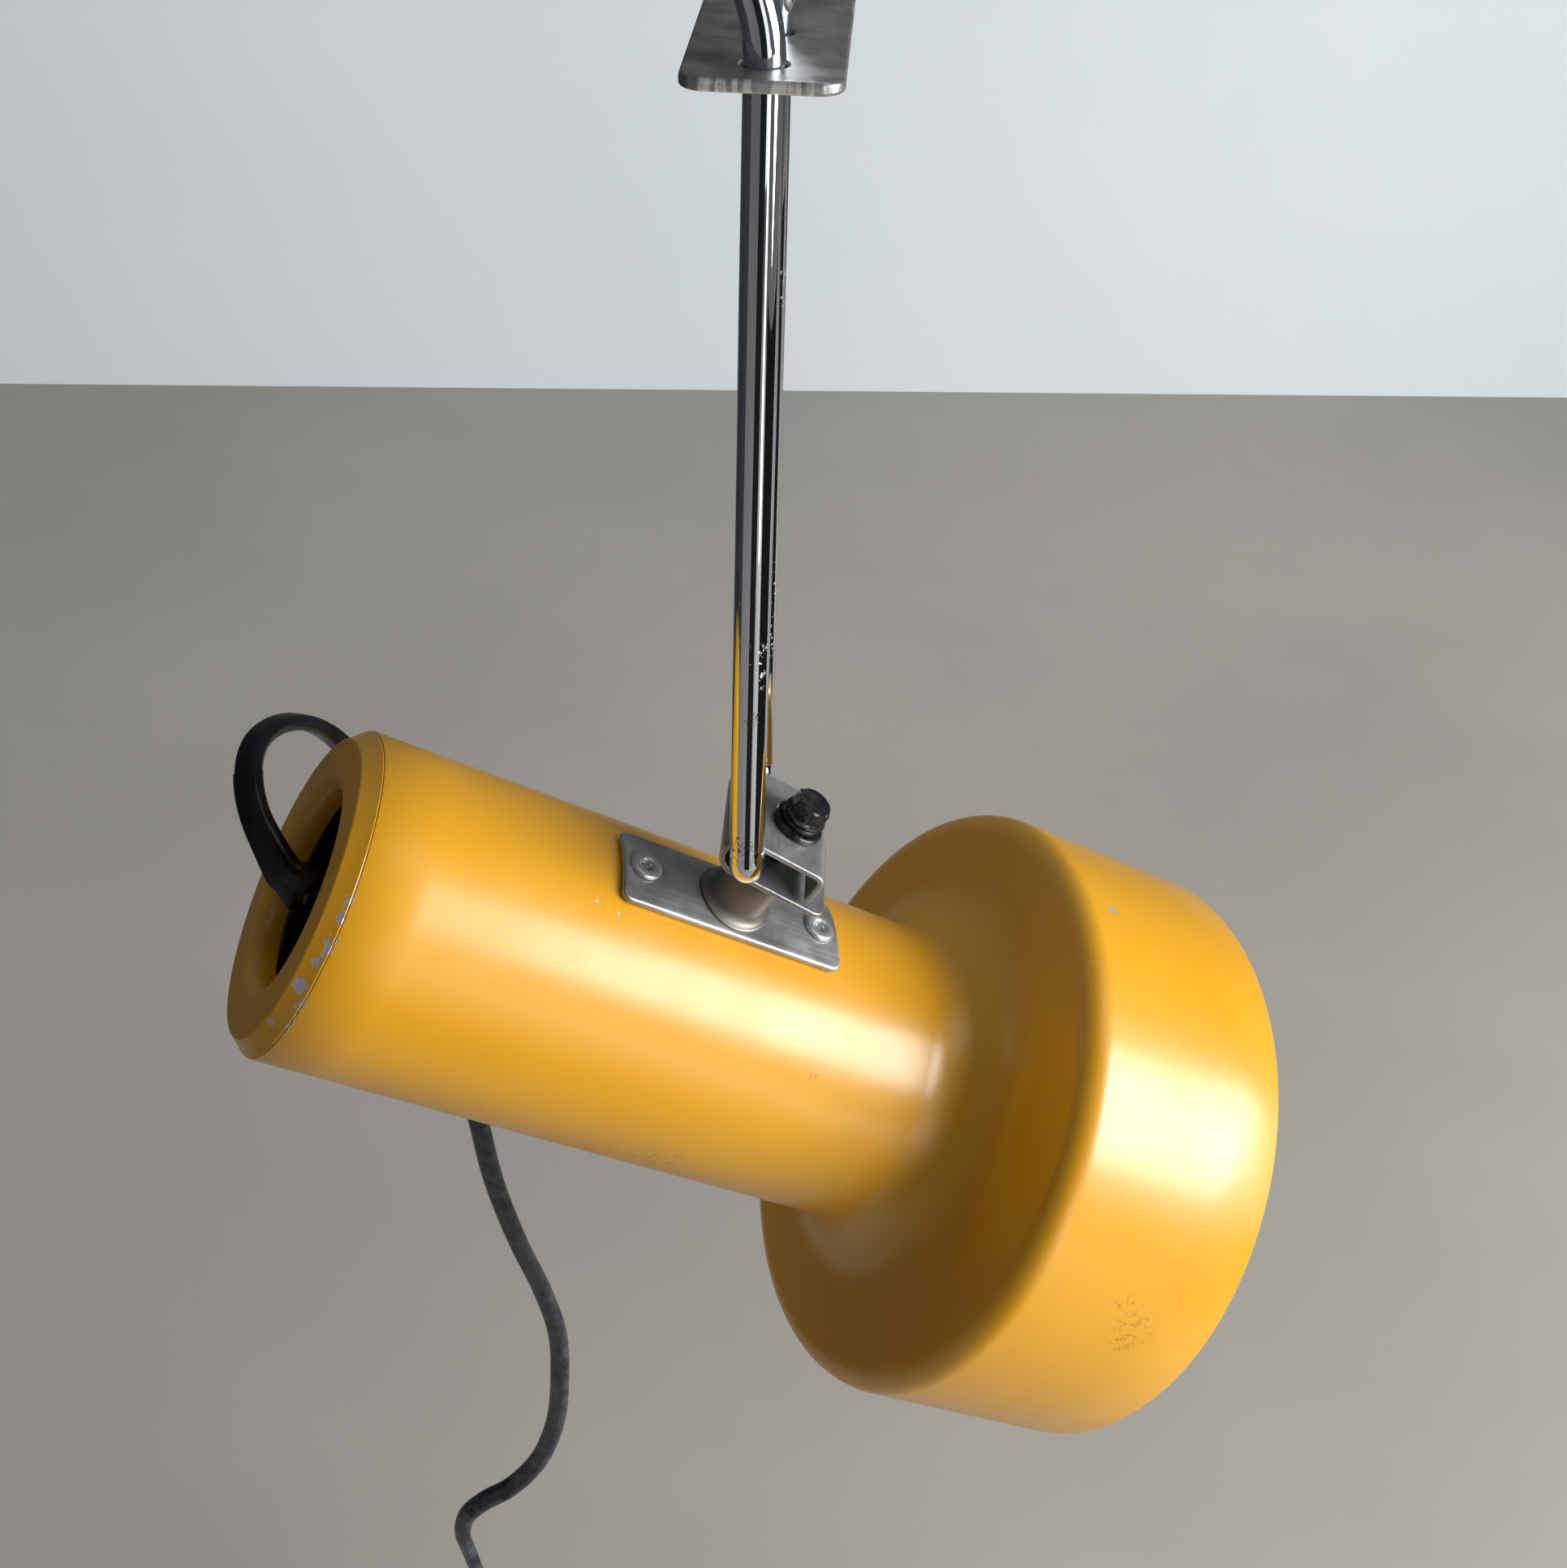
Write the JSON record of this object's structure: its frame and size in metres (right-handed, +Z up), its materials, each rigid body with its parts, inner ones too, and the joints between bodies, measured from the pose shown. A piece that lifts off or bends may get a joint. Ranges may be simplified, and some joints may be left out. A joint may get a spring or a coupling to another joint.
{
  "type": "wall spotlight",
  "caption": "Ochre spun-metal spotlight head with a wide hood, clamped by a swivel strap to a chromed hairpin arm that hangs from a steel wall bracket.",
  "frame": {"origin": "centre of the wall flange's back face, between its two screw holes", "axes": "+Y into the wall, +Z up, +X to the right for a person facing the wall"},
  "size_m": [0.2686, 0.1848, 0.8326],
  "materials": {
    "bracket_steel": "worn bare steel sheet, brushed",
    "arm_chrome": "polished chrome, lightly pitted",
    "clamp_steel": "satin bare steel, tumbled edges",
    "bolt_black": "black oxide, semi-gloss",
    "shade_paint": "ochre yellow satin enamel",
    "rivet_zinc": "zinc-plated steel",
    "brass_fittings": "dull brass",
    "grip_plastic": "black moulded plastic",
    "relief_rubber": "black soft PVC sleeve",
    "bakelite": "dark brown-black bakelite",
    "porcelain": "glazed white porcelain",
    "wire_brown": "brown PVC insulation",
    "wire_blue": "blue PVC insulation",
    "lamp_glass": "frosted face, silvered flank",
    "lamp_cap": "rolled screw cap",
    "cord_black": "black flat twin PVC flex",
    "pin_metal": "nickel-plated pins"
  },
  "bodies": {
    "bracket": {"wall_bracket": "bracket_steel", "arm_rod": "arm_chrome"},
    "clamp": {"clamp_strap": "clamp_steel", "flat_washer": "bolt_black", "spring_washer": "bolt_black"},
    "head": {"shade_shell": "shade_paint", "rear_ring": "shade_paint", "saddle_plate": "clamp_steel", "swivel_boss": "clamp_steel", "rear_rivet": "rivet_zinc", "front_rivet": "rivet_zinc", "holder_bracket": "rivet_zinc", "nipple": "brass_fittings", "nipple_nut": "rivet_zinc", "cord_grip": "grip_plastic", "strain_relief": "relief_rubber", "holder_cap": "bakelite", "holder_shell": "bakelite", "holder_insert": "porcelain", "screw_sleeve": "brass_fittings", "centre_contact": "brass_fittings", "live_screw": "brass_fittings", "neutral_screw": "brass_fittings", "live_wire": "wire_brown", "neutral_wire": "wire_blue", "cord": "cord_black", "cord_coil": "cord_black", "cord_tail": "cord_black", "cord_tie": "grip_plastic", "plug_body": "grip_plastic", "plug_pin_left": "pin_metal", "plug_pin_right": "pin_metal"},
    "bolt": {"clamp_bolt": "bolt_black"},
    "lamp": {"bulb_glass": "lamp_glass", "bulb_cap": "lamp_cap", "bulb_tip": "lamp_cap"}
  },
  "joints": [
    {"name": "head_tilt", "type": "hinge", "parent": "bracket", "child": "clamp", "pos_m": [0, -0.124, -0.2145], "axis": [0, 1, 0], "range_deg": [-58, 44]},
    {"name": "head_swivel", "type": "hinge", "parent": "clamp", "child": "head", "pos_m": [0.00768, -0.124, -0.21919], "axis": [0.521, 0, 0.8536], "range_deg": [-160, 8]},
    {"name": "bolt_turn", "type": "hinge", "parent": "head", "child": "bolt", "pos_m": [0.01185, -0.124, -0.21236], "axis": [0.521, 0, 0.8536], "range_deg": [0, 180]},
    {"name": "lamp_turn", "type": "hinge", "parent": "head", "child": "lamp", "pos_m": [-0.02367, -0.12352, -0.27527], "axis": [0.8379, 0.1908, -0.5114], "range_deg": [0, 120]}
  ]
}
